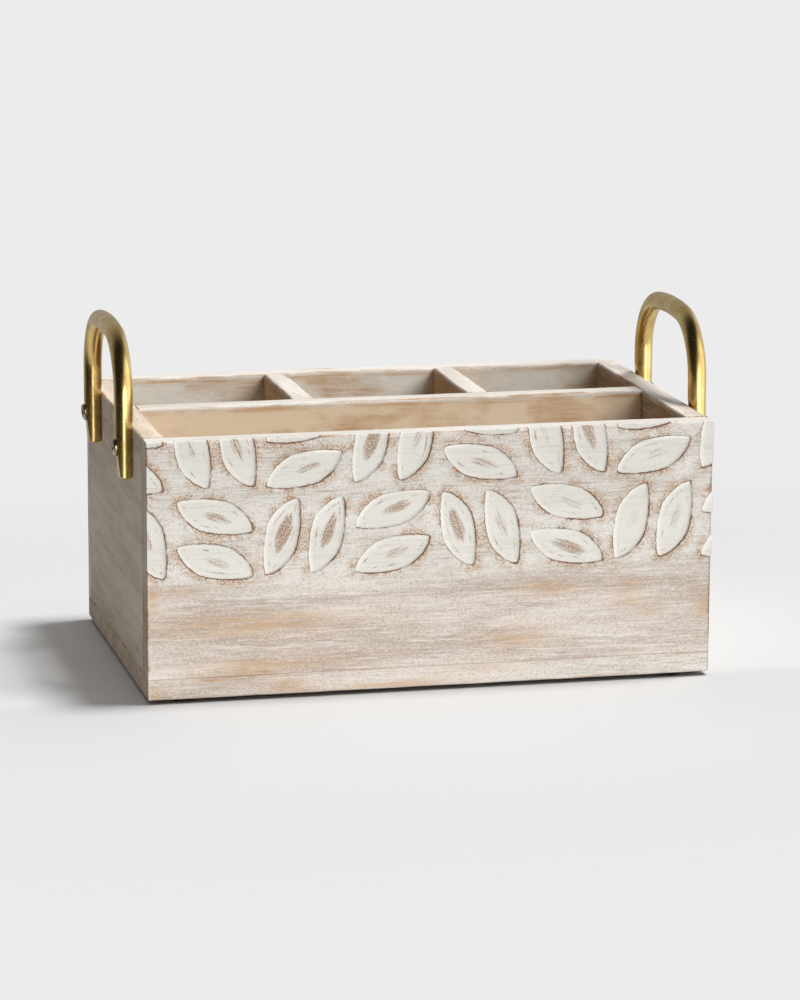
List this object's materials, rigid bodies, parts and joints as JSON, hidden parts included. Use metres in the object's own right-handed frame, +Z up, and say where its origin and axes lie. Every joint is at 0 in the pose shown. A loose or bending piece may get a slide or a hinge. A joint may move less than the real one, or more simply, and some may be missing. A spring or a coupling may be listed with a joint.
{
  "type": "utensil caddy",
  "caption": "Rectangular wooden utensil caddy with a long front compartment, a row of smaller ones behind it, raised leaf carving on the front and a bent brass handle on each end.",
  "frame": {"origin": "on the surface that the caddy stands on, under the middle of its bounding box", "axes": "+X along the box's length towards its right end, +Y from the carved front to the back, +Z up"},
  "size_m": [0.3206, 0.193, 0.188],
  "materials": {
    "washed_wood": "distressed white wash over brown wood, matt",
    "brass_rod": "satin antique brass",
    "dark_screws": "dark bronzed steel",
    "plated_steel": "zinc plated",
    "black_feet": "matt black rubber"
  },
  "bodies": {
    "root": {"base_board": "washed_wood", "front_panel": "washed_wood", "back_panel": "washed_wood", "left_end_panel": "washed_wood", "right_end_panel": "washed_wood", "long_divider": "washed_wood", "left_cross_divider": "washed_wood", "right_cross_divider": "washed_wood", "left_handle": "brass_rod", "right_handle": "brass_rod", "left_handle_screw_front": "dark_screws", "left_handle_screw_back": "dark_screws", "right_handle_screw_front": "dark_screws", "right_handle_screw_back": "dark_screws", "front_left_brad_1": "plated_steel", "front_left_brad_2": "plated_steel", "front_left_brad_3": "plated_steel", "front_right_brad_1": "plated_steel", "front_right_brad_2": "plated_steel", "front_right_brad_3": "plated_steel", "back_left_brad_1": "plated_steel", "back_left_brad_2": "plated_steel", "back_left_brad_3": "plated_steel", "back_right_brad_1": "plated_steel", "back_right_brad_2": "plated_steel", "back_right_brad_3": "plated_steel", "long_divider_left_brad_1": "plated_steel", "long_divider_left_brad_2": "plated_steel", "long_divider_right_brad_1": "plated_steel", "long_divider_right_brad_2": "plated_steel", "left_cross_divider_front_brad_1": "plated_steel", "left_cross_divider_front_brad_2": "plated_steel", "left_cross_divider_back_brad_1": "plated_steel", "left_cross_divider_back_brad_2": "plated_steel", "right_cross_divider_front_brad_1": "plated_steel", "right_cross_divider_front_brad_2": "plated_steel", "right_cross_divider_back_brad_1": "plated_steel", "right_cross_divider_back_brad_2": "plated_steel", "base_screw_front_1": "plated_steel", "base_screw_front_2": "plated_steel", "base_screw_front_3": "plated_steel", "base_screw_back_1": "plated_steel", "base_screw_back_2": "plated_steel", "base_screw_back_3": "plated_steel", "base_screw_left": "plated_steel", "base_screw_right": "plated_steel", "base_screw_cross_left": "plated_steel", "base_screw_cross_right": "plated_steel", "base_screw_long_1": "plated_steel", "base_screw_long_2": "plated_steel", "front_left_foot": "black_feet", "front_right_foot": "black_feet", "back_left_foot": "black_feet", "back_right_foot": "black_feet"}
  },
  "joints": []
}
